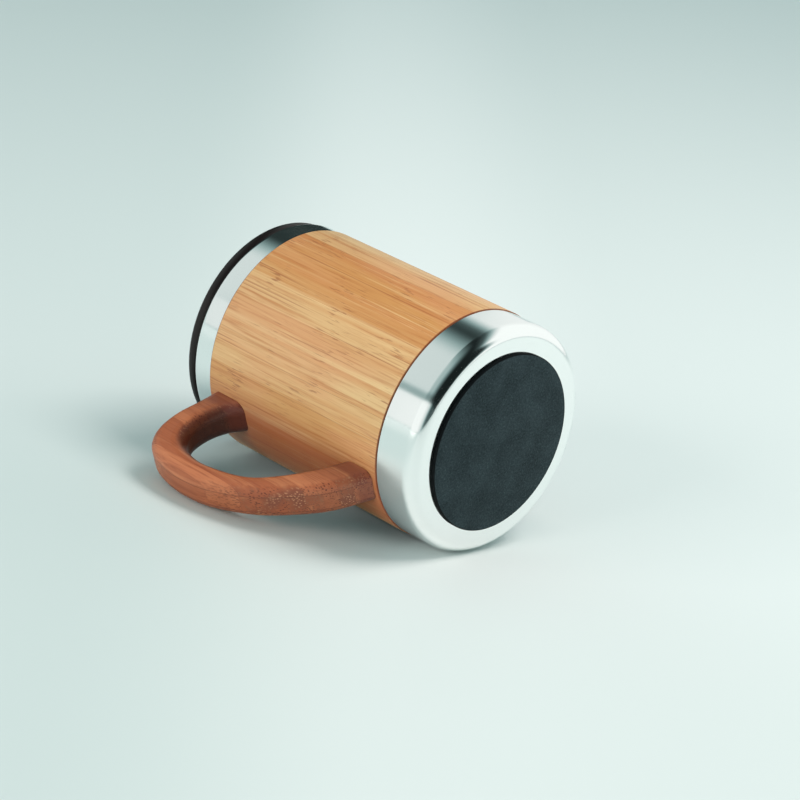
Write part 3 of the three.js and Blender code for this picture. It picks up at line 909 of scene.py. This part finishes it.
# Slide seal and clip. The seal is a silicone pad pressed into the cover's pocket, and the clip is a
# plastic plate pushed onto the stem under the lid, which keeps the cover down.
seal_pad_corner = 1 * mm
seal_pad_edge = 0.15 * mm
clip_corner = 1.75 * mm
clip_edge = 0.2 * mm
clip_gap = 0.1 * mm
seal_pad = rounded_block("seal_pad", pad_seal_low, pad_seal_high, seal_pad_corner, seal_pad_edge, 4)
dress(seal_pad, silicone, "slide", "slider_seal")
clip_low, clip_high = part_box("slider_clip")
stem_clip = rounded_block("stem_clip", clip_low, clip_high, clip_corner, clip_edge, 6)
clip_hole = rounded_block(
    "clip_tool",
    Vector((stem_middle - stem_length / 2 - clip_gap, -stem_width / 2 - clip_gap, clip_low.z - overrun)),
    Vector((stem_middle + stem_length / 2 + clip_gap, stem_width / 2 + clip_gap, clip_high.z + overrun)),
    stem_corner, 0, 3,
)
combine(stem_clip, clip_hole)
smooth(stem_clip)
dress(stem_clip, dark_plastic, "slide", "slider_clip")


# Table. The pale sheet that the mug lies on in the picture, touching the sleeve and the handle. It shows
# from its front only. Light and shade are painted on it: a brighter pool of light about the mug, and
# shade that makes it greyer left of the mug, near the picture's lower edge and under the mug.
table_turn = math.radians(27.7)
table_up = Vector((math.sin(table_turn), -math.cos(table_turn), 0))
table_left = Vector((-math.cos(table_turn), -math.sin(table_turn), 0))
table_size = 3.2
table_gap = 0.1 * mm


def one_sided(name):
    """A matt sheet that shows from its front and lets light through from behind."""
    material, shader, place = new_finish(name, Roughness=0.6, Specular_IOR_Level=0.3)
    tree = material.node_tree
    clear = place.node("ShaderNodeBsdfTransparent")
    behind = place.node("ShaderNodeNewGeometry", result="Backfacing")
    sheet = Signal(tree, shader.outputs[0])
    shown = place.node("ShaderNodeMixShader", None, {0: behind, 1: sheet, 2: clear})
    tree.links.new(shown.socket, tree.nodes["Material Output"].inputs["Surface"])
    return material, shader, place


paper, paper_shader, paper_place = one_sided("Pale table")
paper_along = paper_place.along((-0.7, 0.71, 0))
paper_across = paper_place.along((0.71, 0.7, 0))
paper_right, paper_up = paper_place.axes(2)
# Painted light: a brighter pool on the table about the mug.
painted_light_pool = paper_along.between(-0.08, 0.02) * paper_along.between(0.13, 0.04)
painted_light_pool = painted_light_pool * (paper_across.between(-0.05, 0.35) * 0.7 + 0.3)
paper_colour = painted_light_pool.blend(seen(232, 241, 238), seen(243, 250, 247))
paper_left = paper_along.between(0.03, 0.14) * (paper_across.between(0.15, -0.05) * 0.6 + 0.4)
paper_left = paper_left * paper_along.between(0.5, 0.25)
paper_colour = paper_left.blend(paper_colour, seen(208, 223, 220))
paper_near = paper_across.between(0.08, -0.12)
paper_colour = (paper_near * 0.4).blend(paper_colour, seen(218, 229, 225))
paper_under = paper_right.between(-0.055, -0.015) * paper_right.between(0.06, 0.03)
paper_under = paper_under * paper_up.between(-0.002, 0.02) * paper_up.between(0.08, 0.05)
paper_colour = (paper_under * 0.35).blend(paper_colour, seen(140, 172, 176))
feed(paper_shader, "Base Color", paper_colour)
bpy.ops.object.select_all(action="DESELECT")
bpy.ops.mesh.primitive_plane_add(size=table_size)
table = bpy.context.object
table.name = "table"
table.rotation_mode = "QUATERNION"
table.rotation_quaternion = table_up.to_track_quat("Z", "Y")
table.location = table_up * -(sleeve_radius + table_gap)
table.data.materials.append(paper)


# Flag. A studio's grey card, bent round just inside the sleeve. It takes the sleeve's place wherever the
# light bounces, so that the bamboo throws no brown light on the table, and nothing else sees it.
flag_inset = 0.3 * mm
bpy.ops.mesh.primitive_cylinder_add(
    vertices=96, radius=sleeve_radius - flag_inset, depth=sleeve_high.z - sleeve_low.z,
    location=(0, 0, (sleeve_high.z + sleeve_low.z) / 2),
)
flag = bpy.context.object
flag.name = "flag"
hide_from(flag, "camera", "glossy", "transmission", "shadow")
hide_from(bamboo_tube, "diffuse")
grey_card, card_shader, card_place = new_finish("Grey card", Roughness=1.0, Specular_IOR_Level=0.0)
feed(card_shader, "Base Color", card_place.noise(20, 1.0).blend(seen(124, 130, 130), seen(128, 134, 134)))
flag.data.materials.append(grey_card)


# Floor. The pale sheet that the mug stands on in the other views. It shows from above only, and it
# neither lights, darkens nor mirrors in the mug.
floor_size = 12
floor_gap = 0.1 * mm
floor_sheet, floor_shader, floor_place = one_sided("Pale floor")
floor_shade = floor_place.noise(3, 2.0)
feed(floor_shader, "Base Color", floor_shade.blend(seen(228, 235, 233), seen(234, 240, 238)))
bpy.ops.mesh.primitive_plane_add(size=floor_size, location=(0, 0, -floor_gap))
floor = bpy.context.object
floor.name = "floor"
floor.data.materials.append(floor_sheet)
hide_from(floor, "diffuse", "glossy", "transmission", "shadow")


# Studio. A round tent that only the steel, varnish and plastic mirror, painted by turn and rise: a white
# wall on the left, a grey room beside it, and a white sheet above on the right. Two soft lamps stand in
# front of the sheet and the wall, and the room gives a pale light of its own.
tent_radius = 3.0
world_tint = (0.64, 0.92, 0.94, 1)
world_strength = 0.48
lamp_tint = (1.0, 0.872, 0.857)
mug_middle = Vector((0, 0, 0.05))
bpy.ops.object.select_all(action="DESELECT")
bpy.ops.mesh.primitive_uv_sphere_add(segments=96, ring_count=48, radius=tent_radius)
tent = bpy.context.object
tent.name = "tent"
tent.rotation_mode = "QUATERNION"
tent.rotation_quaternion = table_left.to_track_quat("X", "Z")
hide_from(tent, "camera", "diffuse", "shadow", "transmission")
panels = bpy.data.materials.new("Tent panels")
panels.use_nodes = True
panel_tree = panels.node_tree
panel_tree.nodes.remove(panel_tree.nodes["Principled BSDF"])
panel_place = Signal(panel_tree).node("ShaderNodeTexCoord", result="Object")
panel_x, panel_y, panel_z = panel_place.axes(3)
turn = panel_y.maths("ARCTAN2", panel_y, panel_x) * (180 / math.pi)
rise = panel_z * (1 / tent_radius)
room_end = rise.between(0.6, 0.655)
wall_rise = rise.between(-0.88, -0.6) * 0.62 + rise.between(-0.7, -0.2) * 0.26 + 0.08
wall = turn.between(28.5, 25.5) * turn.between(-14, 0) * (wall_rise - rise.between(0.56, 0.66) * 0.2)
seam = turn.between(37, 31.5) * rise.between(0.665, 0.645)
grey_edge = rise * 8 + 74 + rise.between(0.5, 0.66) * 17
grey_rise = rise.between(-0.72, 0.05) * 0.46 + rise.between(0.2, 0.75) * 0.24
grey_room = turn.between(25.5, 28.5) * (1 - seam * 0.5) * (turn - grey_edge).between(18, -17) * grey_rise
above_bend = rise + 0.35
sheet_edge = above_bend * above_bend * 17 + 107
sheet_cut = rise + turn * 0.0037
sheet_foot = (turn - sheet_edge).between(-18, 6) * 0.14
sheet = (turn - sheet_edge).between(-7, 13) * 0.9 + sheet_foot
sheet = sheet * sheet_cut.between(-0.34, -0.2) * (1 - room_end) * (0.96 - rise.between(0.1, 0.6) * 0.13)
sheet = sheet + turn.between(-150, -168) * (1 - room_end) * 0.85
level = wall + grey_room + sheet + rise.between(0.3, 0.6) * 0.018 + 0.014
tint = level.between(0.15, 0.95).blend((0.66, 1.0, 0.98, 1), (0.955, 1.0, 0.98, 1))
paint = tint.vector_maths("SCALE", {0: tint, 3: level})
glow = level.node("ShaderNodeEmission", None, {"Color": paint, "Strength": 1.0})
panel_tree.links.new(glow.socket, panel_tree.nodes["Material Output"].inputs["Surface"])
tent.data.materials.append(panels)

world = bpy.data.worlds.new("Pale room")
bpy.context.scene.world = world
world.use_nodes = True
background = world.node_tree.nodes["Background"]
background.inputs["Color"].default_value = world_tint
background.inputs["Strength"].default_value = world_strength


def soft_lamp(name, line, distance, width, height, energy):
    """A flat lamp that shines on the mug from a direction, and that no surface mirrors."""
    lamp_data = bpy.data.lights.new(name, "AREA")
    lamp_data.shape = "RECTANGLE"
    lamp_data.size = width
    lamp_data.size_y = height
    lamp_data.energy = energy
    lamp_data.color = lamp_tint
    lamp = bpy.data.objects.new(name, lamp_data)
    bpy.context.collection.objects.link(lamp)
    lamp.location = mug_middle + line.normalized() * distance
    lamp.rotation_mode = "QUATERNION"
    lamp.rotation_quaternion = line.to_track_quat("Z", "Y")
    hide_from(lamp, "glossy")


sheet_line = table_up - table_left * 0.38 - Vector((0, 0, 0.35))
wall_line = table_left + table_up * 0.35 + Vector((0, 0, 0.1))
soft_lamp("sheet_lamp", sheet_line, distance=1.3, width=0.62, height=0.62, energy=10.9)
soft_lamp("wall_lamp", wall_line, distance=1.5, width=0.6, height=1.0, energy=11.6)


# Camera. It stands below the base and is rolled, so that the table lies level in the picture. Its place,
# aim, roll and lens come from a fit to the edges in the photograph.
camera_place = Vector((-537.79, -665.47, -619.66)) * mm
camera_aim = Vector((1.04, 5.0, 51.17)) * mm
camera_roll = math.radians(63.27)
camera_data = bpy.data.cameras.new("camera")
camera_data.sensor_width = 36
camera_data.lens = 138.42
camera = bpy.data.objects.new("camera", camera_data)
bpy.context.collection.objects.link(camera)
camera.location = camera_place
camera.rotation_mode = "QUATERNION"
level_turn = (camera_aim - camera_place).to_track_quat("-Z", "Y")
camera.rotation_quaternion = level_turn @ Quaternion((0, 0, 1), -camera_roll)
bpy.context.scene.camera = camera
bpy.context.scene.view_settings.view_transform = "Standard"
